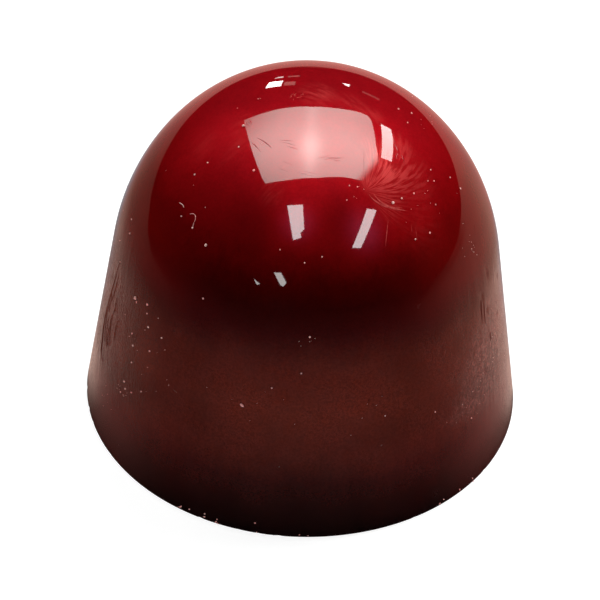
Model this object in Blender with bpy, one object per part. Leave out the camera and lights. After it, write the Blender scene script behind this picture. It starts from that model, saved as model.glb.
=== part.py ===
"""A moulded chocolate praline, in metres, +Z up, standing on its flat base at the origin.

The outside is one turned shape: a round wall that leans in by the mould's draft,
an egg-shaped dome that continues it without a corner, a small round edge at the
foot and a flat base, where the chocolate was scraped level in the mould.
"""

import math

import bmesh
import bpy
from mathutils import Vector

# Driving dimensions. Lengths are in metres and angles in radians.
BASE_DIAMETER = 0.0280
HEIGHT = 0.0236
DOME_RISE = 0.01375  # from the dome's widest level to its top
WALL_DRAFT = math.radians(8.9)  # how far the wall leans in from upright
FOOT_RADIUS = 0.00025  # the round edge between the wall and the base

# How finely the round faces are divided.
STEPS_AROUND = 96
DOME_STEPS = 22
FOOT_STEPS = 3

SHELL_COLOUR = (0.30, 0.006, 0.009, 1.0)
SHELL_ROUGHNESS = 0.12


def clear_scene():
    for obj in list(bpy.data.objects):
        bpy.data.objects.remove(obj, do_unlink=True)


def wall_radius(height):
    """Radius of the leaning wall, from its full width where it would meet the base."""
    return BASE_DIAMETER / 2 - height * math.tan(WALL_DRAFT)


def dome_outline():
    """(radius, height) from the top down to where the dome's ellipse meets the wall.

    The ellipse's half width is the one that makes the wall a tangent to it.
    """
    slope = math.tan(WALL_DRAFT)
    middle = HEIGHT - DOME_RISE
    half_width = math.sqrt(wall_radius(middle) ** 2 - (DOME_RISE * slope) ** 2)
    lowest = math.atan(slope * DOME_RISE / half_width)
    outline = []
    for step in range(DOME_STEPS + 1):
        angle = math.pi / 2 + (lowest - math.pi / 2) * step / DOME_STEPS
        radius = half_width * math.cos(angle) if step else 0.0
        outline.append((radius, middle + DOME_RISE * math.sin(angle)))
    return outline


def foot_outline():
    """(radius, height) round the foot's edge, tangent to the wall and to the base."""
    centre_radius = wall_radius(FOOT_RADIUS) - FOOT_RADIUS / math.cos(WALL_DRAFT)
    outline = []
    for step in range(FOOT_STEPS + 1):
        angle = WALL_DRAFT + (-math.pi / 2 - WALL_DRAFT) * step / FOOT_STEPS
        outline.append(
            (
                centre_radius + FOOT_RADIUS * math.cos(angle),
                FOOT_RADIUS + FOOT_RADIUS * math.sin(angle),
            )
        )
    return outline


def turned_shell(name):
    """Spins the outline round +Z, and closes the base with one flat face."""
    shape = bmesh.new()
    outline = dome_outline() + foot_outline()
    corners = [shape.verts.new((radius, 0.0, height)) for radius, height in outline]
    edges = [shape.edges.new(pair) for pair in zip(corners, corners[1:])]
    bmesh.ops.spin(
        shape,
        geom=corners + edges,
        cent=Vector((0.0, 0.0, 0.0)),
        axis=Vector((0.0, 0.0, 1.0)),
        angle=2 * math.pi,
        steps=STEPS_AROUND,
    )
    bmesh.ops.remove_doubles(shape, verts=shape.verts, dist=FOOT_RADIUS / 100)
    rim = [edge for edge in shape.edges if edge.is_boundary]
    bmesh.ops.contextual_create(shape, geom=rim)
    bmesh.ops.recalc_face_normals(shape, faces=shape.faces)

    mesh = bpy.data.meshes.new(name)
    shape.to_mesh(mesh)
    shape.free()
    mesh.shade_smooth()
    mesh.set_sharp_from_angle(angle=math.radians(40))
    obj = bpy.data.objects.new(name, mesh)
    bpy.context.scene.collection.objects.link(obj)
    return obj


def shell_material():
    """Polished red cocoa butter over dark chocolate."""
    material = bpy.data.materials.new("shell")
    material.use_nodes = True
    surface = material.node_tree.nodes["Principled BSDF"]
    surface.inputs["Base Color"].default_value = SHELL_COLOUR
    surface.inputs["Roughness"].default_value = SHELL_ROUGHNESS
    surface.inputs["Metallic"].default_value = 0.0
    return material


clear_scene()
praline = turned_shell("praline")
praline.data.materials.append(shell_material())
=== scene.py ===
import math
import random

import bmesh
import bpy
from mathutils import Matrix, Vector, noise


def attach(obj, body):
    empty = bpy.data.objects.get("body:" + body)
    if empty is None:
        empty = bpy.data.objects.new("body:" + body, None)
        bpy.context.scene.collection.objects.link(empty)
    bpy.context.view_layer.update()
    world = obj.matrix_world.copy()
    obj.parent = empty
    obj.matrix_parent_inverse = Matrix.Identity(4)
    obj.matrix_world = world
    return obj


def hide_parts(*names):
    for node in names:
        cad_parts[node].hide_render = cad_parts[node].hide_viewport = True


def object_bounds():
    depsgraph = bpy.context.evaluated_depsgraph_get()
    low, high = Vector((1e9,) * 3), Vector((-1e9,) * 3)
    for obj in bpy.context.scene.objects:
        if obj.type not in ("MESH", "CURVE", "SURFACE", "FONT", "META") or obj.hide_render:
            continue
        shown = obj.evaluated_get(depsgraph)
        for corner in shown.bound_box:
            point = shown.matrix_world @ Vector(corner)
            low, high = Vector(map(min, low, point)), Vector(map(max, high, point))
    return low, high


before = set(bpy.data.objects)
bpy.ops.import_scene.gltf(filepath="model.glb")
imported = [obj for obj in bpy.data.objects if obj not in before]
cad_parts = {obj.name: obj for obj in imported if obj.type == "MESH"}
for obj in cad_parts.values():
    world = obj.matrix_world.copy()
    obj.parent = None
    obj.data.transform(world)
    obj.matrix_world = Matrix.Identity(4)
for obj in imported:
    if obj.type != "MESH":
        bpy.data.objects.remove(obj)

mm = 0.001
cadLow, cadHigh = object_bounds()
shellTop = cadHigh.z
print("frame loaded:", [round((high - low) / mm, 2) for low, high in zip(cadLow, cadHigh)], "mm")


# Camera: a long lens looks down on the dome from the front, turned a little on its own axis.
view = {
    "aim": Vector((-0.26 * mm, 0, shellTop * 0.315)),
    "distance": 168 * mm,
    "elevation": math.radians(40.19),
    "roll": math.radians(2.48),
    "lens": 158.0,  # on a sensor 36 mm wide
}


def placeCamera():
    lens = bpy.data.cameras.new("praline view")
    lens.lens = view["lens"]
    lens.sensor_width = 36
    lens.clip_start = 0.01
    lens.clip_end = 20
    camera = bpy.data.objects.new("praline view", lens)
    bpy.context.scene.collection.objects.link(camera)
    back = Vector((0, -math.cos(view["elevation"]), math.sin(view["elevation"])))
    turned = back.to_track_quat("Z", "Y").to_matrix() @ Matrix.Rotation(view["roll"], 3, "Z")
    camera.matrix_world = turned.to_4x4()
    camera.location = view["aim"] + back * view["distance"]
    bpy.context.scene.camera = camera


placeCamera()
print("camera placed")


# A node's output, so that shader maths reads as plain Python.
class Flow:
    def __init__(self, tree, socket=None):
        self.tree = tree
        self.socket = socket

    def node(self, kind, settings=None, inputs=None, output=0):
        made = self.tree.nodes.new(kind)
        for name, value in (settings or {}).items():
            if name == "stops":
                self.setStops(made.color_ramp, value)
            else:
                setattr(made, name, value)
        for name, value in (inputs or {}).items():
            if isinstance(value, Flow):
                self.tree.links.new(value.socket, made.inputs[name])
            else:
                made.inputs[name].default_value = value
        return Flow(self.tree, made.outputs[output])

    def setStops(self, ramp, stops):
        while len(ramp.elements) < len(stops):
            ramp.elements.new(1)
        for element, (position, colour) in zip(ramp.elements, stops):
            element.position = position
            element.color = colour

    def kind(self, other):
        types = [side.socket.type for side in (self, other) if isinstance(side, Flow)]
        return "colour" if "RGBA" in types else "vector" if "VECTOR" in types else "value"

    def join(self, operation, first, second):
        kind = self.kind(second if first is self else first)
        if kind == "value":
            return self.node("ShaderNodeMath", {"operation": operation}, {0: first, 1: second})
        if kind == "vector":
            return self.node("ShaderNodeVectorMath", {"operation": operation}, {0: first, 1: second})
        settings = {"data_type": "RGBA", "blend_type": operation}
        return self.node("ShaderNodeMix", settings, {0: 1.0, 6: first, 7: second}, 2)

    def __add__(self, other):
        return self.join("ADD", self, other)

    def __radd__(self, other):
        return self.join("ADD", other, self)

    def __sub__(self, other):
        return self.join("SUBTRACT", self, other)

    def __rsub__(self, other):
        return self.join("SUBTRACT", other, self)

    def __mul__(self, other):
        return self.join("MULTIPLY", self, other)

    def __rmul__(self, other):
        return self.join("MULTIPLY", other, self)

    def __truediv__(self, other):
        return self.join("DIVIDE", self, other)

    def __rtruediv__(self, other):
        return self.join("DIVIDE", other, self)

    def __pow__(self, other):
        return self.join("POWER", self, other)


def newMaterial(name):
    material = bpy.data.materials.new(name)
    material.use_nodes = True
    material.node_tree.nodes.clear()
    return material, Flow(material.node_tree)


def place(flow):  # the point on the object, in metres
    return flow.node("ShaderNodeTexCoord", output="Object")


def part(point, axis):  # one coordinate of a point
    return point.node("ShaderNodeSeparateXYZ", inputs={0: point}, output=axis)


def ease(value, low, high, start=0.0, end=1.0):  # start below low, end above high, smooth between
    settings = {"interpolation_type": "SMOOTHSTEP"}
    return value.node("ShaderNodeMapRange", settings, {0: value, 1: low, 2: high, 3: start, 4: end})


def cloud(point, size, detail=2.0, rough=0.5, stretch=(1, 1, 1), warp=0.0):  # 0 to 1, size in metres
    scaled = point * tuple(1 / (size * s) for s in stretch)
    inputs = {"Vector": scaled, "Scale": 1.0, "Detail": detail, "Roughness": rough, "Distortion": warp}
    return scaled.node("ShaderNodeTexNoise", inputs=inputs)


def blend(mask, first, second):  # colour first where mask is 0, second where it is 1
    settings = {"data_type": "RGBA"}
    return mask.node("ShaderNodeMix", settings, {0: mask, 6: first, 7: second}, 2)


def bump(height, depth, onto=None):  # height 0 to 1 stands for depth metres
    inputs = {"Height": height * depth, "Strength": 1.0, "Distance": 1.0}
    if onto:
        inputs["Normal"] = onto
    return height.node("ShaderNodeBump", inputs=inputs)


def surface(flow, inputs):
    return flow.node("ShaderNodeBsdfPrincipled", inputs=inputs)


def finishMaterial(flow, shader):
    end = flow.tree.nodes.new("ShaderNodeOutputMaterial")
    flow.tree.links.new(shader.socket, end.inputs["Surface"])


def addPiece(name, mesh, material):
    for each in material if isinstance(material, list) else [material]:
        mesh.materials.append(each)
    piece = bpy.data.objects.new(name, mesh)
    bpy.context.scene.collection.objects.link(piece)
    return piece


# The turned outline: a leaning wall, an egg-shaped dome that continues it, a small round foot.
outline = {
    "draft": math.radians(8.9),
    "domeRise": 13.75 * mm,
    "footRadius": 0.25 * mm,
}
slope = math.tan(outline["draft"])
footSpread = outline["footRadius"] * (slope + 1 / math.cos(outline["draft"]) - 1)
footWidth = (cadHigh.x - cadLow.x) / 2 + footSpread  # where the wall would meet the base
domeMiddle = shellTop - outline["domeRise"]
domeWidth = math.sqrt((footWidth - domeMiddle * slope) ** 2 - (outline["domeRise"] * slope) ** 2)
tangentAngle = math.atan(slope * outline["domeRise"] / domeWidth)
tangentHeight = domeMiddle + outline["domeRise"] * math.sin(tangentAngle)


def wallRadius(height):
    if height <= tangentHeight:
        return footWidth - height * slope
    level = min(1.0, (height - domeMiddle) / outline["domeRise"])
    return domeWidth * math.sqrt(1 - level * level)


def shellNormal(bearing, height):  # bearing 0 faces the camera and grows to the right
    if height <= tangentHeight:
        out, up = 1.0, slope
    else:
        out = wallRadius(height) / domeWidth**2
        up = (height - domeMiddle) / outline["domeRise"] ** 2
    return Vector((math.sin(bearing) * out, -math.cos(bearing) * out, up)).normalized()


def shellPoint(bearing, height):
    radius = wallRadius(height)
    return Vector((math.sin(bearing) * radius, -math.cos(bearing) * radius, height))


shell = {
    "around": 560,  # points round one ring
    "domeRings": 70,
    "wallRings": 72,
    "footRings": 6,
    "baseRings": 24,
    "waviness": 0.006 * mm,  # long, soft unevenness of the moulded wall
    "scuffDepth": 0.012 * mm,  # drag marks on both flanks
    "nickDepth": 0.05 * mm,  # where the foot's edge broke off
    "dents": [  # (bearing in degrees, height, half width, half height, depth in millimetres)
        (70, 13.6, 0.24, 0.4, 0.06), (64.4, 12.7, 0.26, 0.35, 0.06), (67, 11.3, 0.2, 0.4, 0.05),
        (78.6, 12.1, 0.2, 0.4, 0.05), (75, 9.8, 0.2, 0.35, 0.04), (62.5, 7.3, 0.28, 0.35, 0.05),
        (43, 11.5, 0.25, 0.25, 0.03), (-140, 9.0, 0.25, 0.5, 0.04), (165, 6.0, 0.3, 0.3, 0.04),
    ],
    "scrapeDepth": 0.09 * mm,  # grooves of the scraper across the underside
    "seed": 11,
}


def shellRings():  # (radius, height) of every ring from the top down to the middle of the base
    rings = []
    for step in range(1, shell["domeRings"] + 1):
        angle = math.pi / 2 + (tangentAngle - math.pi / 2) * step / shell["domeRings"]
        rings.append((domeWidth * math.cos(angle), domeMiddle + outline["domeRise"] * math.sin(angle)))
    for step in range(1, shell["wallRings"]):
        height = tangentHeight + (outline["footRadius"] - tangentHeight) * step / shell["wallRings"]
        rings.append((wallRadius(height), height))
    centre = footWidth - outline["footRadius"] * (slope + 1 / math.cos(outline["draft"]))
    for step in range(shell["footRings"] + 1):
        angle = outline["draft"] - (math.pi / 2 + outline["draft"]) * step / shell["footRings"]
        height = outline["footRadius"] * (1 + math.sin(angle))
        rings.append((centre + outline["footRadius"] * math.cos(angle), height))
    for step in range(1, shell["baseRings"]):
        rings.append((centre * (1 - step / shell["baseRings"]), 0.0))
    return rings


def fade(value, low, high):
    share = max(0.0, min(1.0, (value - low) / (high - low)))
    return share * share * (3 - 2 * share)


def flankScuff(bearing, height):  # drag marks on the left and right of the wall
    total = 0.0
    for side, middle in (("left", -68), ("right", 62)):
        away = math.degrees(bearing) - middle
        spread = math.exp(-((away / 15) ** 2)) * fade(height, 2 * mm, 5 * mm) * (1 - fade(height, 13 * mm, 17 * mm))
        lean = 0.35 if side == "left" else -0.12
        along = Vector((away * 0.95 + lean * height / mm * 4, height / mm * 0.22, 7.7))
        total += spread * (1 - abs(noise.noise(along)) * 2.2)
    return total


def dented(bearing, height):  # small pressed-in spots on the wall
    total = 0.0
    for turn, level, wide, tall, depth in shell["dents"]:
        across = (math.degrees(bearing) - turn) / math.degrees(wide * mm / wallRadius(level * mm))
        along = (height / mm - level) / tall
        reach = across * across + along * along
        if reach < 1:
            total += depth * mm * (1 - reach) ** 2
    return total


def relief(bearing, height):  # how far the real surface stands off the true outline
    point = shellPoint(bearing, height)
    soft = noise.noise(point * 170) + 0.5 * noise.noise(point * 420)
    off = shell["waviness"] * soft * (1 - 0.75 * fade(height, 14 * mm, 18 * mm))
    if height > outline["footRadius"] * 0.9:
        off -= shell["scuffDepth"] * flankScuff(bearing, height) + dented(bearing, height)
    return off


def buildShell(materials):
    shape = bmesh.new()
    rings = shellRings()
    top = shape.verts.new((0, 0, shellTop))
    rows = []
    around = shell["around"]
    edge = footWidth - outline["footRadius"]
    for radius, height in rings:
        row = []
        for turn in range(around):
            bearing = 2 * math.pi * turn / around
            if bearing > math.pi:
                bearing -= 2 * math.pi
            point = Vector((math.sin(bearing) * radius, -math.cos(bearing) * radius, height))
            if height > 0:
                normal = shellNormal(bearing, max(height, outline["footRadius"]))
                point += normal * relief(bearing, height)
                if height < 1.2 * mm:  # the foot's broken edge
                    chip = noise.noise(Vector((bearing * 22, 3.1, height / mm))) - 0.34
                    if chip > 0:
                        point -= normal * shell["nickDepth"] * min(1.0, chip * 5) * (1 - fade(height, 0, 1.2 * mm))
            else:
                scraped = abs(noise.noise(Vector((point.x * 1500, point.y * 90, 5.0))))
                hollow = noise.noise(point * 240) * 0.5 + 0.5
                inward = fade(edge - radius, 0, 1.5 * mm)
                point.z += shell["scrapeDepth"] * (0.6 * scraped + 0.4 * hollow) * inward
            row.append(shape.verts.new(point))
        rows.append(row)
    middle = shape.verts.new((0, 0, shell["scrapeDepth"] * 0.3))
    for turn in range(around):
        after = (turn + 1) % around
        shape.faces.new((top, rows[0][turn], rows[0][after]))
        shape.faces.new((middle, rows[-1][after], rows[-1][turn]))
    underside = shell["domeRings"] + shell["wallRings"] + shell["footRings"] - 1
    for index, (upper, lower) in enumerate(zip(rows, rows[1:])):
        for turn in range(around):
            after = (turn + 1) % around
            face = shape.faces.new((upper[turn], lower[turn], lower[after], upper[after]))
            face.material_index = 1 if index >= underside else 0
    for face in middle.link_faces:
        face.material_index = 1
    mesh = bpy.data.meshes.new("pralineShell")
    shape.to_mesh(mesh)
    shape.free()
    mesh.shade_smooth()
    return addPiece("pralineShell", mesh, materials)


# Red cocoa butter sprayed on the dome, which thins out over dark chocolate down the wall, with painted light and shade
# laid over both.
polish = {
    "redByHeight": [  # from the thin lower edge of the red to the top; the dip round 16 mm is painted shade
        (13.0, (0.07, 0.0015, 0.0010, 1)),
        (16.0, (0.040, 0.0008, 0.0006, 1)),
        (17.2, (0.066, 0.0010, 0.0009, 1)),
        (19.0, (0.18, 0.0016, 0.0026, 1)),
        (21.0, (0.26, 0.0026, 0.0050, 1)),
        (22.3, (0.26, 0.0032, 0.0064, 1)),
        (23.6, (0.22, 0.0030, 0.0060, 1)),
    ],
    "brownByHeight": [  # from the foot up to where the red takes over; the darkening to the foot is painted contact shade, the dip from 14.5 to 16 mm painted shade
        (0.0, (0.004, 0.0006, 0.0006, 1)),
        (2.0, (0.021, 0.0016, 0.0012, 1)),
        (4.0, (0.050, 0.0035, 0.0022, 1)),
        (6.0, (0.105, 0.0090, 0.0042, 1)),
        (9.0, (0.150, 0.0142, 0.0060, 1)),
        (12.0, (0.124, 0.0092, 0.0036, 1)),
        (14.5, (0.060, 0.0020, 0.0020, 1)),
        (16.0, (0.040, 0.0008, 0.0008, 1)),
    ],
    "flankPaintedLight": (0.07, 0.001, 0.001, 1),  # painted light: the lower dome redder on both sides, where the side lights fall
    "footPaintedLight": (0.045, 0.0, 0.0, 1),  # painted light at the foot under them too
    "lustre": 0.21,
    "lustreRoughness": 0.38,
    "glossRoughness": 0.03,
    "wallRoughness": 0.24,
    "speckSize": 0.15 * mm,  # fine mottle of the sprayed colour and of the moulded wall
    "pitSize": 0.2 * mm,
    "grainDepth": 0.006 * mm,
    "crinkleSize": 0.26 * mm,  # the skin shrank in fine crinkles on the right flank
    "dragSize": 0.2 * mm,  # and was dragged in upright folds on the left one
    # painted highlight on the right flank's crinkles
    "crinklePaintedHighlight": (0.046, 0.029, 0.028, 1),
    "wornDepth": 0.05 * mm,
    "smudge": (0.27, 0.045, 0.041, 1),  # dull pink film where the wet gloss was wiped
    "smudges": [  # x, y and radius in millimetres seen from above, then strength
        (4.6, -4.8, 1.4, 0.72), (3.8, -3.8, 1.1, 0.45), (3.5, -5.6, 0.7, 0.6), (5.9, -3.8, 1.5, 0.34),
        (5.3, -2.4, 0.9, 0.25), (4.6, -6.2, 1.0, 0.34), (0.3, 0.1, 1.3, 0.35), (-4.2, -1.8, 0.9, 0.15),
        (6.3, -6.0, 1.8, 0.08), (2.4, -0.3, 1.1, 0.2), (3.6, -1.0, 0.8, 0.2),
        (4.2, -5.3, 0.9, 0.12), (-4.6, -3.4, 1.3, 0.14), (-2.2, -6.6, 0.8, 0.16), (-6.4, -2.4, 1.2, 0.10),
    ],
    "wipeCentre": (3.3, -6.1),  # the strokes of the film fan out from here
    "paintedLightAndShadeSpots": [  # painted light and shade: x, y, radius, and how much lighter the red is there
        (-5.6, -2.4, 2.8, 0.42), (-3.0, -7.4, 2.1, -0.22), (1.9, -7.6, 1.3, -0.28), (7.0, -6.4, 2.0, 0.45),
        (5.2, -7.2, 1.2, 0.2),
    ],
}


def byStops(value, stops):  # a colour read off a list of (value, colour)
    low, high = stops[0][0], stops[-1][0]
    spread = [((position - low) / (high - low), colour) for position, colour in stops]
    return value.node("ShaderNodeValToRGB", {"stops": spread}, {0: (value - low) / (high - low)})


def spotMask(point, spots):  # soft round spots, seen from above
    total = None
    flat = point * (1, 1, 0)
    for x, y, radius, strength in spots:
        inputs = {0: flat, 1: (x * mm, y * mm, 0)}
        away = flat.node("ShaderNodeVectorMath", {"operation": "DISTANCE"}, inputs, "Value")
        spot = ease(away, radius * 1.25 * mm, 0, 0, strength)
        total = spot if total is None else total + spot
    return total


def fanned(flow, point):  # turn and reach round the middle of the wipe, so that strokes run outwards
    x, y = polish["wipeCentre"]
    right = part(point, "X") - x * mm
    back = part(point, "Y") - y * mm
    turn = flow.node("ShaderNodeMath", {"operation": "ARCTAN2"}, {0: back, 1: right})
    reach = flow.node("ShaderNodeVectorMath", {"operation": "LENGTH"}, {0: point - (x * mm, y * mm, 21 * mm)}, "Value")
    bent = turn * (3.2 * mm) - reach * 0.35
    return flow.node("ShaderNodeCombineXYZ", inputs={0: bent, 1: reach * 0.14, 2: 0.0})


def polishedShell():
    material, flow = newMaterial("polishedShell")
    point = place(flow)
    height = part(point, "Z")
    drift = (cloud(point, 3.2 * mm, 3.0) - 0.5) * (1.6 * mm)
    runs = (cloud(point, 0.45 * mm, 3.0, 0.6, (1, 1, 9)) - 0.5) * (1.1 * mm)  # colour pulled down in streaks
    level = height + drift + runs
    across = part(point, "X")
    flank = ease(across * across, (3.5 * mm) ** 2, (10 * mm) ** 2)
    # painted light on both flanks of the lower dome, added to the red and to the brown
    glow = ease(level, 12.8 * mm, 15.6 * mm) * (1 - ease(level, 16.8 * mm, 18.5 * mm)) * flank
    glow = blend(glow, (0, 0, 0, 1), polish["flankPaintedLight"])
    # painted light at the foot of both flanks, beside the shaded front
    low = ease(height, 6 * mm, 3.5 * mm) * ease(height, 0.5 * mm, 3 * mm, 0.6, 1)
    low = low * ease(across * across, (8.5 * mm) ** 2, (12 * mm) ** 2)

    speckle = ease(cloud(point, polish["speckSize"], 3.0, 0.7), 0.34, 0.66)
    mottle = cloud(point, 0.9 * mm, 3.0, 0.6)
    streaks = ease(cloud(fanned(flow, point), 0.17 * mm, 3.0, 0.55, (1, 1, 1), 0.25), 0.40, 0.62)
    film = spotMask(point, polish["smudges"]) * (0.15 + streaks)
    red = byStops(level / mm, polish["redByHeight"]) * (0.80 + speckle * 0.16 + mottle * 0.24)
    # painted light and shade spots on the red, then the painted flank light
    red = red * (1 + spotMask(point, polish["paintedLightAndShadeSpots"])) + glow
    red = red + blend(film, (0, 0, 0, 1), polish["smudge"])
    lacquer = surface(flow, {
        "Base Color": red,
        "Metallic": polish["lustre"],
        "Roughness": polish["lustreRoughness"],
        "Specular IOR Level": 0.0,
        "Specular Tint": (1, 0.0, 0.0, 1),
        "Coat Weight": 1.0 - speckle * 0.07 - streaks * film * 0.3,
        "Coat Roughness": polish["glossRoughness"],
        "Coat IOR": 1.45,
    })

    satin = 1 - ease(height + drift * 0.6, 12 * mm, 17 * mm)
    pits = ease(cloud(point, polish["pitSize"], 2.0, 0.5), 0.655, 0.72)
    patches = cloud(point, 2.6 * mm, 3.0)
    rough = ease(patches, 0.4, 0.65)
    # painted shade: the wall darker past 3 mm to both sides, less so at the flanks, and lighter there instead near the
    # foot
    dim = ease(across * across, (3 * mm) ** 2, (6.5 * mm) ** 2) * 0.28
    dim = dim - ease(across * across, (9.5 * mm) ** 2, (11.5 * mm) ** 2) * 0.16
    dim = dim * ease(height, 4 * mm, 7.5 * mm, -0.8, 1)
    grain = 0.72 + speckle * (0.26 + rough * 0.2) + patches * 0.18
    brown = byStops(level / mm, polish["brownByHeight"]) * grain * (1 - dim)
    # painted shade in the pits
    brown = blend(pits * (0.15 + rough * 0.25), brown, (0.03, 0.004, 0.003, 1))
    # painted light of the foot and of the flanks, added to the brown
    brown = brown + blend(low, (0, 0, 0, 1), polish["footPaintedLight"]) + glow
    back = part(point, "Y")
    frayed = (patches - 0.5) * (5 * mm)
    crinkled = ease(across + frayed, 9.2 * mm, 11.2 * mm) * ease(back + frayed, -0.5 * mm, -5.2 * mm)
    crinkled = crinkled * ease(height + frayed, 3.4 * mm, 6.8 * mm) * ease(height - frayed, 12.8 * mm, 9.4 * mm)
    crinkle = ease(cloud(point, polish["crinkleSize"], 3.0, 0.6, (1, 1, 1.3), 1.2), 0.3, 0.7)
    dragged = ease(across + frayed, -9.2 * mm, -11.2 * mm) * ease(back + frayed, 2.5 * mm, -3.5 * mm)
    dragged = dragged * ease(height + frayed, 3.4 * mm, 6.6 * mm) * ease(height - frayed, 14.4 * mm, 10.6 * mm)
    drag = ease(cloud(point, polish["dragSize"], 2.0, 0.5, (1, 1, 5), 1.8), 0.3, 0.7)
    folds = contour(crinkle) * crinkled * 0.8 + contour(drag) * dragged
    maze = contour(ease(cloud(point, polish["crinkleSize"], 2.0, 0.5, (1, 1, 1), 1.6), 0.3, 0.7))
    maze = maze * ease(patches, 0.46, 0.6) * (1 - crinkled)
    # painted shade along the folds and crinkle lines, and painted highlight and shade on the crinkles
    brown = brown * (1 - folds * (0.45 - crinkled * 0.15) - maze * 0.38) * (1 + (crinkle - 0.5) * crinkled * 0.5)
    brown = brown + blend(crinkle * crinkled, (0, 0, 0, 1), polish["crinklePaintedHighlight"])
    worn = crinkle * crinkled * 0.5 + drag * dragged * 0.7 - folds * 0.3
    wall = surface(flow, {
        "IOR": 1.45,
        "Base Color": brown,
        "Roughness": polish["wallRoughness"] + (mottle - 0.5) * 0.14,
        "Normal": bump(worn, polish["wornDepth"], bump(speckle * (0.4 + rough) - pits, polish["grainDepth"])),
    })
    mixed = flow.node("ShaderNodeMixShader", inputs={0: satin, 1: lacquer, 2: wall})
    finishMaterial(flow, mixed)
    return material


def contour(value):  # thin lines where the cloud passes its middle
    apart = value.node("ShaderNodeMath", {"operation": "ABSOLUTE"}, {0: value - 0.5})
    return ease(apart, 0.09, 0.0)


scraped = {
    "dark": (0.018, 0.006, 0.004, 1),
    "light": (0.05, 0.018, 0.011, 1),
}


def scrapedBase():
    material, flow = newMaterial("scrapedBase")
    point = place(flow)
    grooves = cloud(point, 0.5 * mm, 3.0, 0.6, (0.6, 12, 1))
    pores = cloud(point, 0.25 * mm, 2.0)
    colour = blend(ease(grooves, 0.35, 0.7), scraped["dark"], scraped["light"])
    roughness = 0.45 + 0.25 * pores
    rough = bump(grooves + 0.3 * pores, 0.03 * mm)
    finishMaterial(flow, surface(flow, {"IOR": 1.45, "Base Color": colour, "Roughness": roughness, "Normal": rough}))
    return material


praline = buildShell([polishedShell(), scrapedBase()])
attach(praline, "root")
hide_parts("praline")
print("shell built:", len(praline.data.polygons), "faces")


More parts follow.
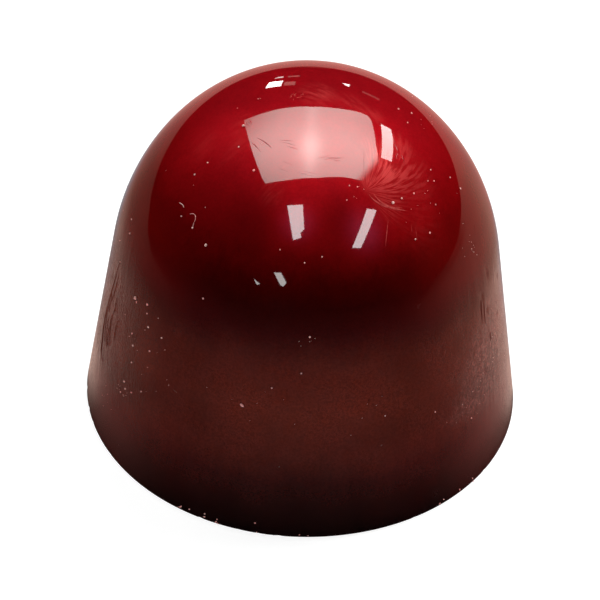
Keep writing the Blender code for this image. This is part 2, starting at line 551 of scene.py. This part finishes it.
# Marks left in the gloss while it set, and dry wrinkles on the wall: low ridges that stand on the shell.
ridges = {
    "seed": 5,
    "points": 16,  # along one ridge
    "sink": 0.012 * mm,  # its edges go into the shell
    # Each sweep lays several ridges side by side. On the dome it starts at x, y seen from above; on the
    # wall at a bearing and a height. Headings turn from right (0) to back or up (90), bend is how far
    # they turn on the way, fan how much they differ, beside and late how far the starts are spread out.
    "wipes": [
        {"start": (3.5, -5.95), "heading": -45, "bend": 66, "length": 2.3, "count": 2, "fan": 6, "beside": 0.4,
         "late": 0.3, "width": 0.18, "rise": 0.007},
        {"start": (4.72, -7.0), "heading": -97, "bend": 3, "length": 1.2, "count": 1, "fan": 0, "beside": 0,
         "late": 0, "width": 0.11, "rise": 0.004},
        {"start": (6.0, -6.6), "heading": -80, "bend": 3, "length": 0.6, "count": 2, "fan": 4, "beside": 1.4,
         "late": 0.3, "width": 0.08, "rise": 0.002},
        {"start": (-1.4, -0.2), "heading": 0, "bend": 40, "length": 0.3, "count": 10, "fan": 180, "beside": 0.5,
         "late": 0.9, "width": 0.09, "rise": 0.003},
    ],
    "scratches": [
        {"start": (5.05, -1.8), "heading": -80, "bend": 14, "length": 0.6, "count": 6, "fan": 12, "beside": 0.5,
         "late": 1.6, "width": 0.07, "rise": 0.003},
        {"start": (3.12, -3.75), "heading": -88, "bend": 0, "length": 1.45, "count": 1, "fan": 0, "beside": 0,
         "late": 0, "width": 0.05, "rise": 0.012},
        {"start": (-3.2, -3.3), "heading": -33, "bend": -16, "length": 1.25, "count": 1, "fan": 0, "beside": 0,
         "late": 0, "width": 0.07, "rise": 0.024},
        {"start": (-3.6, -3.45), "heading": -42, "bend": -14, "length": 1.05, "count": 1, "fan": 0, "beside": 0,
         "late": 0, "width": 0.07, "rise": 0.024},
        {"start": (-3.9, -1.8), "heading": -52, "bend": -6, "length": 0.6, "count": 4, "fan": 6, "beside": 0.3,
         "late": 0.3, "width": 0.06, "rise": 0.012},
        {"start": (-2.2, -3.9), "heading": -5, "bend": -12, "length": 1.4, "count": 3, "fan": 6, "beside": 0.5,
         "late": 0.8, "width": 0.06, "rise": 0.006},
        {"start": (-1.9, -5.2), "heading": -12, "bend": -8, "length": 1.2, "count": 4, "fan": 8, "beside": 0.6,
         "late": 1.6, "width": 0.06, "rise": 0.006},
        {"start": (0.2, -4.6), "heading": 6, "bend": 10, "length": 1.0, "count": 5, "fan": 8, "beside": 0.9,
         "late": 1.2, "width": 0.06, "rise": 0.006},
    ],
    "wall": [
        {"start": (65, 12.7), "heading": -96, "bend": 6, "length": 1.9, "count": 4, "fan": 2, "beside": 0.6,
         "late": 0.4, "width": 0.12, "rise": 0.026},
        {"start": (68.6, 9.7), "heading": -88, "bend": 4, "length": 1.3, "count": 2, "fan": 4, "beside": 0.4,
         "late": 0.2, "width": 0.12, "rise": 0.024},
        {"start": (52.8, 9.6), "heading": -147, "bend": 6, "length": 1.6, "count": 2, "fan": 4, "beside": 0.2,
         "late": 0.2, "width": 0.10, "rise": 0.010},
        {"start": (68, 16.6), "heading": -90, "bend": 60, "length": 0.3, "count": 14, "fan": 180, "beside": 1.6,
         "late": 1.6, "width": 0.08, "rise": 0.008},
        {"start": (150, 12.0), "heading": -95, "bend": 15, "length": 1.3, "count": 12, "fan": 20, "beside": 3.0,
         "late": 6.0, "width": 0.12, "rise": 0.012},
    ],
    "folds": [  # long folds down the left flank: routes of (bearing, height), then width and rise
        ([(-72.6, 13.0), (-74.3, 11.2), (-76.1, 9.4), (-77.4, 7.4), (-76, 6.1), (-74.8, 5.3), (-72, 5.1)], 0.15, 0.032),
        ([(-71.5, 12.0), (-72.4, 10.6), (-75, 9.1), (-76.2, 8.1), (-74.5, 6.9), (-72.5, 6.3)], 0.13, 0.028),
        ([(-69.6, 10.6), (-69.9, 9.6), (-71.5, 8.6), (-70.6, 7.6), (-68.6, 7.0)], 0.13, 0.025),
        ([(-66.1, 9.5), (-67, 8.6), (-66.4, 7.7)], 0.12, 0.022),
        ([(-73.3, 8.6), (-73.8, 7.9), (-72.8, 7.1), (-70.8, 6.4)], 0.12, 0.024),
        ([(-71.9, 7.9), (-71.6, 7.2), (-70.4, 6.7)], 0.11, 0.022),
        ([(-70.4, 8.9), (-71.0, 8.2), (-70.2, 7.5)], 0.11, 0.022),
        ([(-74.9, 10.2), (-74.2, 9.3), (-74.6, 8.5)], 0.11, 0.020),
    ],
}


wipe = {
    "dark": (0.34, 0.016, 0.015, 1),
    "pale": (0.50, 0.055, 0.048, 1),
    "roughness": 0.5,
    "shine": 0.1,
}


def wipedFilm():
    material, flow = newMaterial("wipedFilm")
    grains = cloud(place(flow), 0.16 * mm, 3.0, 0.6)
    film = surface(flow, {
        "Specular IOR Level": wipe["shine"],
        "Base Color": blend(ease(grains, 0.3, 0.7), wipe["dark"], wipe["pale"]),
        "Roughness": wipe["roughness"] + (grains - 0.5) * 0.2,
    })
    finishMaterial(flow, film)
    return material


def onDome(x, y):  # the surface point over x, y seen from above
    radius = math.hypot(x, y)
    if radius < domeWidth * math.cos(tangentAngle):
        return Vector((x, y, domeMiddle + outline["domeRise"] * math.sqrt(1 - (radius / domeWidth) ** 2)))
    return Vector((x, y, (footWidth - radius) / slope))


def settled(point):  # the same point on the uneven surface, and the way up from there
    bearing = math.atan2(point.x, -point.y)
    normal = shellNormal(bearing, point.z)
    return point + normal * relief(bearing, point.z), normal


def sweepRoute(sweep, draws, steer):  # steer turns a start and a distance ahead into surface points
    heading = sweep["heading"] + draws.uniform(-1, 1) * sweep["fan"]
    beside = draws.uniform(-0.5, 0.5) * sweep["beside"]
    late = draws.uniform(0, 1) * sweep["late"]
    length = sweep["length"] * draws.uniform(0.45, 1.0) if sweep["count"] > 1 else sweep["length"]
    first = math.radians(sweep["heading"])
    along = late * math.cos(first) - beside * math.sin(first)
    aside = late * math.sin(first) + beside * math.cos(first)
    route = []
    for step in range(ridges["points"] + 1):
        share = step / ridges["points"]
        route.append(steer(sweep["start"], along * mm, aside * mm))
        way = math.radians(heading + sweep["bend"] * (1 - (1 - share) ** 2))
        along += math.cos(way) * length / ridges["points"]
        aside += math.sin(way) * length / ridges["points"]
    return route


def steerDome(start, along, aside):
    return onDome(start[0] * mm + along, start[1] * mm + aside)


def steerWall(start, along, aside):
    height = start[1] * mm + aside
    return shellPoint(math.radians(start[0]) + along / wallRadius(start[1] * mm), max(height, 0.5 * mm))


def overShell(stops, steps=5):  # a smooth route through (bearing, height) points
    route = []
    padded = [stops[0], *stops, stops[-1]]
    for index in range(len(stops) - 1):
        before, first, second, after = [Vector(stop) for stop in padded[index:index + 4]]
        for step in range(steps + (index == len(stops) - 2)):
            share = step / steps
            out = (second - before) / 2
            into = (after - first) / 2
            spot = first + out * share + (3 * (second - first) - 2 * out - into) * share**2
            spot += (2 * (first - second) + out + into) * share**3
            route.append(shellPoint(math.radians(spot.x), spot.y * mm))
    return route


def layRidge(shape, route, width, rise, blunt=0.6):  # a closed ridge, thin at both ends
    profile = [(-0.5, 0.0), (-0.27, 0.72), (0.0, 1.0), (0.27, 0.72), (0.5, 0.0)]
    rows = []
    last = len(route) - 1
    for step, point in enumerate(route):
        taper = max(0.08, math.sin(math.pi * step / last) ** blunt)
        seat, normal = settled(point)
        ahead = route[min(step + 1, last)] - route[max(step - 1, 0)]
        across = ahead.cross(normal).normalized()
        row = []
        for offset, lift in profile:
            up = lift * rise * taper - ridges["sink"] * (1 - lift)
            row.append(shape.verts.new(seat + across * (offset * width * taper) + normal * up))
        rows.append(row)
    count = len(profile)
    for row, after in zip(rows, rows[1:]):
        for index in range(count):
            beyond = (index + 1) % count
            shape.faces.new((row[index], row[beyond], after[beyond], after[index]))
    shape.faces.new(reversed(rows[0]))
    shape.faces.new(rows[-1])


def finishPiece(name, shape, material):
    bmesh.ops.recalc_face_normals(shape, faces=shape.faces)
    mesh = bpy.data.meshes.new(name)
    shape.to_mesh(mesh)
    shape.free()
    mesh.shade_smooth()
    piece = addPiece(name, mesh, material)
    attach(piece, "root")
    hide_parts("praline")
    print(name, "built:", len(mesh.polygons), "faces")


def buildRidges(name, sweeps, steer, material):
    draws = random.Random(ridges["seed"])
    shape = bmesh.new()
    for sweep in sweeps:
        for _ in range(sweep["count"]):
            route = sweepRoute(sweep, draws, steer)
            layRidge(shape, route, sweep["width"] * mm * draws.uniform(0.7, 1.1), sweep["rise"] * mm)
    finishPiece(name, shape, material)


def buildFolds(material):
    shape = bmesh.new()
    for stops, width, rise in ridges["folds"]:
        layRidge(shape, overShell(stops), width * mm, rise * mm, 0.4)
    finishPiece("flankFolds", shape, material)


buildRidges("wipeStrokes", ridges["wipes"], steerDome, wipedFilm())
buildRidges("glossScratches", ridges["scratches"], steerDome, praline.data.materials[0])
buildRidges("wallWrinkles", ridges["wall"], steerWall, praline.data.materials[0])
buildFolds(praline.data.materials[0])


# Dry pale specks, flakes and two short hairs that lie on the shell.
crumbs = {
    "seed": 23,
    "pale": (1.0, 0.62, 0.56, 1),
    "pink": (1.0, 0.40, 0.37, 1),
    "hairWidth": 0.042 * mm,
    "specks": [  # (bearing in degrees, height, diameter in millimetres), the ones that stand out
        (-62, 22.6, 0.18), (-50, 22.1, 0.096), (-32, 21.7, 0.144), (-59, 20.3, 0.108), (-58, 21.0, 0.084),
        (-75, 15.7, 0.084), (-72, 15.1, 0.12), (-37, 18.0, 0.156), (-45, 18.4, 0.12),
        (-58.2, 12.4, 0.21), (-52, 12.8, 0.144), (-51.5, 12.2, 0.096), (-50, 11.4, 0.12), (-44, 11.4, 0.108), (-57, 9.9, 0.108),
        (-55.6, 9.2, 0.132), (-48, 9.9, 0.108), (-55, 8.0, 0.108), (-57, 6.2, 0.132), (-49, 6.7, 0.096),
        (-56, 5.8, 0.12), (-58, 5.2, 0.096), (-53, 6.0, 0.096), (-32, 15.3, 0.108),
        (-8, 10.8, 0.108), (0, 12.0, 0.096), (2, 14.4, 0.12), (39, 20.4, 0.17), (44, 20.4, 0.11),
        (51, 20.3, 0.1), (65, 20.1, 0.1), (62, 20.3, 0.075), (76, 18.7, 0.12), (75, 19.5, 0.08),
        (68, 20.5, 0.085), (97, 22.3, 0.11), (99, 21.8, 0.11), (87, 22.0, 0.085), (49, 18.4, 0.115),
        (42, 18.5, 0.096), (58, 19.3, 0.085), (25, 21.4, 0.084), (21, 21.5, 0.072), (18, 21.0, 0.072),
        (40, 7.3, 0.084), (54, 5.0, 0.096), (24, 8.4, 0.072), (-10.1, 0.9, 0.12), (-23.6, 0.6, 0.108),
        (-0.5, 18.4, 0.09), (5.6, 18.7, 0.085), (-9.7, 18.9, 0.08),
    ],
    "flakes": [(-16, 9.2, 0.168), (-57.4, 12.2, 0.084), (-52, 18.5, 0.072)],
    "scatters": [  # bearing and height of the middle, spread of both, how many, diameter
        (-52, 9.0, 12, 3.2, 14, 0.045), (-57, 5.4, 3, 0.8, 8, 0.05), (62, 19.6, 12, 1.2, 5, 0.04),
        (45, 19.5, 9, 0.8, 3, 0.04), (66, 16.2, 5, 0.9, 12, 0.045), (-70, 22.9, 25, 0.4, 4, 0.05),
        (2, 13.9, 3, 0.5, 5, 0.04), (-13, 9.5, 8, 1.6, 6, 0.03), (20, 8.5, 8, 1.8, 4, 0.03),
        (58, 7.5, 12, 3.2, 18, 0.045), (-60, 20.2, 16, 1.8, 3, 0.04), (-66, 3.0, 6, 1.4, 8, 0.028),
        (22, 21.2, 5, 0.4, 4, 0.035), (95, 21.0, 9, 1.2, 6, 0.04), (180, 11.0, 90, 8.0, 60, 0.05),
    ],
    "hairs": [  # routes over the shell: (bearing in degrees, height in millimetres)
        [(-56.5, 18.9), (-55.2, 18.95), (-54.0, 18.95), (-53.0, 18.9)],
        [(-49.1, 18.85), (-47.8, 18.97), (-46.4, 18.95), (-45.6, 18.82), (-45.5, 18.68)],
        [(-45.5, 18.66), (-45.3, 18.56), (-45.1, 18.46)],
    ],
    "footChips": [-31, -28, -23.5, -20, -10, 1, 3.3, 40, 41, 46, 52.5, 95, 140, 171, -96, -150],
}


def addCrumb(shape, bearing, height, size, draws, flat=0.7, long=1.0):
    seat, normal = settled(shellPoint(bearing, height))
    turn = normal.to_track_quat("Z", "Y").to_matrix() @ Matrix.Rotation(draws.uniform(0, math.pi), 3, "Z")
    spread = Matrix.Diagonal((0.5 * size * long, 0.5 * size, 0.5 * size * flat))
    made = bmesh.ops.create_icosphere(shape, subdivisions=2, radius=1.0)
    for vert in made["verts"]:
        lump = 1 + 0.28 * noise.noise(vert.co * 1.6 + Vector((bearing * 40, height / mm, size / mm)))
        vert.co = seat + turn @ (spread @ (vert.co * lump)) + normal * (0.2 * size * flat)


def crumbFinish():
    material, flow = newMaterial("cocoaButterCrumbs")
    point = place(flow)
    grains = cloud(point, 0.05 * mm, 2.0)
    colour = blend(ease(cloud(point, 0.7 * mm), 0.4, 0.65), crumbs["pale"], crumbs["pink"])
    dry = surface(flow, {
        "Specular IOR Level": 0.15,
        "Base Color": colour,
        "Roughness": 0.35 + 0.3 * grains,
        "Normal": bump(grains, 0.01 * mm),
    })
    finishMaterial(flow, dry)
    return material


def buildSpecks(material):
    draws = random.Random(crumbs["seed"])
    shape = bmesh.new()
    for bearing, height, size in crumbs["specks"]:
        addCrumb(shape, math.radians(bearing), height * mm, size * mm, draws)
    for bearing, height, size in crumbs["flakes"]:
        addCrumb(shape, math.radians(bearing), height * mm, size * mm, draws, 0.4, 1.8)
    for bearing, height, wide, tall, count, size in crumbs["scatters"]:
        for _ in range(count):
            turn = bearing + max(-2, min(2, draws.gauss(0, 0.6))) * wide
            level = max(0.8, min(23.2, height + draws.gauss(0, 0.5) * tall))
            addCrumb(shape, math.radians(turn), level * mm, size * mm * draws.uniform(0.5, 1.15), draws)
    finishPiece("paleSpecks", shape, material)


def buildHairs(material):
    shape = bmesh.new()
    for hair in crumbs["hairs"]:
        layRidge(shape, overShell(hair), crumbs["hairWidth"], crumbs["hairWidth"] * 0.9, 0.3)
    finishPiece("fineHairs", shape, material)


def buildFootChips(material):
    draws = random.Random(crumbs["seed"] + 1)
    shape = bmesh.new()
    for bearing in crumbs["footChips"]:
        for _ in range(draws.randint(1, 3)):
            turn = math.radians(bearing + draws.gauss(0, 0.5))
            level = draws.uniform(0.16, 0.5) * mm
            addCrumb(shape, turn, level, draws.uniform(0.05, 0.09) * mm, draws, 0.5, draws.uniform(1, 2))
    finishPiece("footChips", shape, material)


dryCrumbs = crumbFinish()
buildSpecks(dryCrumbs)
buildHairs(dryCrumbs)
buildFootChips(dryCrumbs)


# Stage: a pale floor for the eye, and what the gloss reflects round it.
studio = {
    "floorSize": 3.0,
    "floorColour": (0.3, 0.3, 0.3, 1),
    "floorGlow": 0.92,
    "fill": 0.05,
    "cardDistance": 0.6,
}


def seenBy(obj, camera=False, diffuse=False, glossy=False, shadow=False):
    obj.visible_camera = camera
    obj.visible_diffuse = diffuse
    obj.visible_glossy = glossy
    obj.visible_shadow = shadow
    obj.visible_transmission = False
    obj.visible_volume_scatter = False


def paleFloor():
    half = studio["floorSize"]
    mesh = bpy.data.meshes.new("paleFloor")
    mesh.from_pydata([(-half, -half, 0), (half, -half, 0), (half, half, 0), (-half, half, 0)], [], [(0, 1, 2, 3)])
    material, flow = newMaterial("paleFloor")
    lit = {"Emission Color": (1, 1, 1, 1), "Emission Strength": studio["floorGlow"]}
    finishMaterial(flow, surface(flow, {"Base Color": studio["floorColour"], "Roughness": 0.9, "Specular IOR Level": 0.0, **lit}))
    floor = addPiece("paleFloor", mesh, material)
    seenBy(floor, camera=True, diffuse=True)


def glowing(name, colour, strength):
    material, flow = newMaterial(name)
    made = flow.node("ShaderNodeEmission", inputs={"Color": colour, "Strength": strength})
    finishMaterial(flow, made)
    return material


def heading(bearing, rise):  # bearing 0 is behind the praline and grows to the right, in degrees
    a, e = math.radians(bearing), math.radians(rise)
    return Vector((math.sin(a) * math.cos(e), math.cos(a) * math.cos(e), math.sin(e)))


def card(name, corners, colour, strength):  # a lit panel that only the gloss sees
    points = [heading(*corner) * studio["cardDistance"] for corner in corners]
    mesh = bpy.data.meshes.new(name)
    mesh.from_pydata(points, [], [tuple(range(len(points)))])
    made = addPiece(name, mesh, glowing(name, colour, strength))
    seenBy(made, glossy=True)


haze = {
    "colour": (0.5, 0.3, 0.75, 1),
    "strength": 0.9,
    "behind": 1.03,  # as a part of the panels' distance
    "reach": 2.2,  # how many spreads out its edge is
}


def hazeRound(name, bearing, rise, spread):  # the dim violet glow round a small panel
    middle = heading(bearing, rise) * studio["cardDistance"] * haze["behind"]
    turn = middle.to_track_quat("Z", "Y").to_matrix()
    reach = haze["reach"] * spread
    corners = [middle + turn @ Vector((x * reach, y * reach, 0)) for x, y in ((-1, -1), (1, -1), (1, 1), (-1, 1))]
    mesh = bpy.data.meshes.new(name)
    mesh.from_pydata(corners, [], [(0, 1, 2, 3)])
    material, flow = newMaterial(name)
    point = place(flow)
    away = flow.node("ShaderNodeVectorMath", {"operation": "DISTANCE"}, {0: point, 1: middle}, "Value") / spread
    glow = flow.node("ShaderNodeMath", {"operation": "EXPONENT"}, {0: away * away * -1.0}) * haze["strength"]
    finishMaterial(flow, flow.node("ShaderNodeEmission", inputs={"Color": haze["colour"], "Strength": glow}))
    panel = addPiece(name, mesh, material)
    seenBy(panel, glossy=True)


softboxShape = {
    "corners": [  # seen from below, as parts of its distance above the praline
        (-0.79, 0.93), (-0.54, 0.885), (-0.22, 0.855), (0.0, 0.84), (0.2, 0.88), (0.36, 0.94), (0.51, 1.015),
        (0.63, 1.04), (0.67, 0.93), (0.7, 0.47), (0.74, 0.3), (0.8, 0.05), (0.74, -0.1), (0.58, -0.115), (0.33, -0.145),
        (0.09, -0.2), (-0.25, -0.23), (-0.48, -0.23), (-0.51, -0.16), (-0.61, 0.22), (-0.69, 0.54),
    ],
    "tint": (0.87, 1, 0.94, 1),
    "level": 6.9,
    "lamp": 5.7,  # the bulb shows through as a bright spot
    "band": 1.6,
    "wash": 3.9,
    "corner": (0.59, 0.46),  # its near right corner fades out between these
}


def softbox():  # a big panel overhead, brightest along its middle
    size = studio["cardDistance"]
    corners = [Vector((x, y, 1)) * size for x, y in softboxShape["corners"]]
    mesh = bpy.data.meshes.new("softbox")
    mesh.from_pydata(corners, [], [tuple(range(len(corners)))])
    material, flow = newMaterial("softbox")
    point = place(flow)
    across = part(point, "X") / size
    along = part(point, "Y") / size
    offLamp = along - 0.13
    offWash = along - 0.21

    def hill(value):
        return flow.node("ShaderNodeMath", {"operation": "EXPONENT"}, {0: value * -1.0})

    glow = softboxShape["level"] + across * 2 - across * across * 4.6
    glow = glow + hill(across * across / 0.012 + offLamp * offLamp / 0.039) * softboxShape["lamp"]
    glow = glow + hill(across * across / 0.004) * softboxShape["band"]
    glow = glow + hill(offWash * offWash / 0.173) * softboxShape["wash"]
    glow = glow * ease(across * 0.88 - along * 0.47, *softboxShape["corner"])
    lit = flow.node("ShaderNodeEmission", inputs={"Color": softboxShape["tint"], "Strength": glow})
    finishMaterial(flow, lit)
    panel = addPiece("softbox", mesh, material)
    seenBy(panel, glossy=True)


tableGlow = {  # how bright the table top looks in the gloss: (degrees from straight behind, level)
    "rightNear": [(0, 0.50), (40, 0.61), (48, 0.73), (63, 0.56), (79, 0.29), (95, 0.11), (112, 0.0)],
    "rightFar": [(0, 0.57), (20, 0.52), (35, 0.45), (48, 0.36), (63, 0.30), (71, 0.30), (79, 0.25),
                 (95, 0.16), (103, 0.10), (115, 0.04), (126, 0.0)],
    "leftNear": [(0, 0.50), (30, 0.45), (40, 0.45), (48, 0.58), (55, 0.42), (62, 0.35), (70, 0.25),
                 (79, 0.18), (87, 0.15), (95, 0.11), (103, 0.05), (115, 0.0)],
    "leftFar": [(0, 0.57), (20, 0.50), (35, 0.30), (44, 0.18), (50, 0.16), (57, 0.14), (64, 0.14),
                (71, 0.12), (79, 0.10), (87, 0.06), (103, 0.03), (115, 0.0)],
    "nearTint": (1.42, 1.0, 0.84, 1),
    "farTint": (1.5, 1.0, 0.75, 1),
    "nearBehind": (0.9, 1.08, 1.22, 1),
    "farBehind": (1.3, 0.68, 0.58, 1),
    "outline": [  # millimetres, its far edge shows as the crisp line round the shoulder
        (-110, -105), (-100, 10), (-115, 33), (-160, 72), (-204, 147), (-205, 235), (-62, 205), (-12, 255),
        (11, 275), (46, 212), (66, 200), (125, 236), (226, 283), (500, 420), (520, -60), (110, -105),
    ],
}


def levelAt(value, stops):  # a level read off a list of (value, level)
    spread = [(position, (level, level, level, 1)) for position, level in stops]
    return value.node("ShaderNodeRGBToBW", inputs={0: byStops(value, spread)})


def tableInGloss():  # the dim table top that the wall and the rim mirror
    corners = [(x * mm, y * mm, -0.5 * mm) for x, y in tableGlow["outline"]]
    mesh = bpy.data.meshes.new("tableInGloss")
    mesh.from_pydata(corners, [], [tuple(range(len(corners)))])
    material, flow = newMaterial("tableInGloss")
    point = place(flow)
    x, y = part(point, "X"), part(point, "Y")
    away = flow.node("ShaderNodeVectorMath", {"operation": "LENGTH"}, {0: point}, "Value")
    aside = flow.node("ShaderNodeMath", {"operation": "ABSOLUTE"}, {0: x})
    turn = flow.node("ShaderNodeMath", {"operation": "ARCTAN2"}, {0: aside, 1: y})
    lean = (14 * mm / away) ** 2 * 38  # the wall stands this far off the middle, seen from here
    angle = turn * (180 / math.pi) - lean
    right = ease(x, -6 * mm, 6 * mm)
    far = levelAt(angle, tableGlow["leftFar"])
    far = far + (levelAt(angle, tableGlow["rightFar"]) - far) * right
    near = levelAt(angle, tableGlow["leftNear"])
    near = near + (levelAt(angle, tableGlow["rightNear"]) - near) * right
    close = ease(away, 50 * mm, 22 * mm)
    close = close + (ease(away, 32.5 * mm, 23 * mm) - close) * right
    sideways = ease(angle, 62, 76)
    fadeOut = 1 - sideways * (ease(away, 110 * mm, 220 * mm) * 0.55 + ease(away, 300 * mm, 520 * mm) * 0.45)
    beneath = ease(angle, 70, 56)  # right under the flanks the table is lit, and in front of them shaded
    shade = ease(away, 14.5 * mm, 17.5 * mm, 0.4, 1)
    shade = shade + (1 - shade) * beneath
    spill = ease(away, 19 * mm, 16 * mm) * beneath * (1 - right) * 0.17
    glow = (far + (near - far) * close) * fadeOut * shade + spill
    wider = ease(y, 2.5 * mm, -0.5 * mm)
    gap = (away - 14.1 * mm) / mm - wider * 0.2
    glow = glow * ease(gap / (0.3 + wider * 0.2), 0, 1, 0.06, 1)  # no light gets in where the two meet
    behind = ease(angle, 46, 30)
    farTint = blend(behind, tableGlow["farTint"], tableGlow["farBehind"])
    nearTint = blend(behind, tableGlow["nearTint"], tableGlow["nearBehind"])
    tint = blend(close, farTint, nearTint)
    lit = flow.node("ShaderNodeEmission", inputs={"Color": tint, "Strength": glow})
    finishMaterial(flow, lit)
    table = addPiece("tableInGloss", mesh, material)
    seenBy(table, glossy=True)


def softLight(name, bearing, rise, strength, spread):
    lamp = bpy.data.lights.new(name, "SUN")
    lamp.energy = strength
    lamp.angle = math.radians(spread)
    made = bpy.data.objects.new(name, lamp)
    made.matrix_world = heading(bearing, rise).to_track_quat("Z", "Y").to_matrix().to_4x4()
    bpy.context.scene.collection.objects.link(made)
    made.visible_glossy = False


def fillWorld():
    world = bpy.data.worlds.new("studio")
    world.use_nodes = True
    level = studio["fill"]
    world.node_tree.nodes["Background"].inputs["Color"].default_value = (1, 1, 1, 1)
    world.node_tree.nodes["Background"].inputs["Strength"].default_value = level
    world.cycles_visibility.glossy = False
    bpy.context.scene.world = world
    bpy.context.scene.view_settings.view_transform = "Standard"


paleFloor()
tableInGloss()
softbox()
warm = (1, 0.99, 0.96, 1)
lilac = (0.97, 0.98, 1, 1)
pink = (1, 0.62, 0.55, 1)
card("sideStrip", [(38.9, 37.9), (42.7, 34.4), (50.5, 37.7), (69.2, 44), (68.6, 50), (53.2, 45.4)], warm, 15)
card("windowLeft", [(-155, 60), (-173, 62.6), (-177.2, 49.4), (-174.3, 47.5), (-175.3, 45), (-169, 43.2)], lilac, 14)
card("windowRight", [(120.6, 49.4), (114.3, 45.3), (140.3, 34.5), (146.2, 36.4)], lilac, 14)
hazeRound("hazeLeft", -170.5, 53, 0.08)
hazeRound("hazeRight", 132, 41.5, 0.09)
card("lampLeft", [(-17, 22.3), (-13.7, 16.6), (-9.7, 18.4), (-12, 25)], warm, 20)
card("lampLeftDim", [(-9.6, 20.7), (-6, 22), (-7, 26.6), (-11, 24.8)], pink, 1.6)
card("lampLeftTop", [(-11.4, 13.2), (-9.7, 11.8), (-8.4, 12.5), (-8.8, 14)], warm, 5)
card("lampLeftFar", [(-7.2, 13.1), (-4, 13.7), (-4.1, 15.5), (-7.5, 14.9)], pink, 1.2)
card("lampRight", [(9.3, 18.9), (11.6, 18.1), (12.3, 21.4), (10.7, 20.5)], warm, 14)
card("lampRightDim", [(16.7, 20), (22.8, 18.7), (23.6, 20.5), (17.4, 21.9)], pink, 0.8)
card("frontLow", [(-148.5, 19), (-153, 17.6), (-151.5, 16.7)], warm, 11)
card("frontMiddle", [(-160, 25), (-164.4, 25.8), (-168.6, 21.4), (-167, 19.2), (-165.3, 19.6)], warm, 11)
card("farRail", [(-6.5, -3.9), (0, -1.3), (6.5, -3.9), (6.5, -3.3), (0, -0.5), (-6.5, -3.3)], (1, 0.3, 0.25, 1), 0.5)
softLight("key", 30, 55, 2.2, 40)
softLight("rightSide", 60, 25, 2.5, 40)
softLight("leftSide", -56, 20, 1.6, 40)
fillWorld()
print("stage lit")
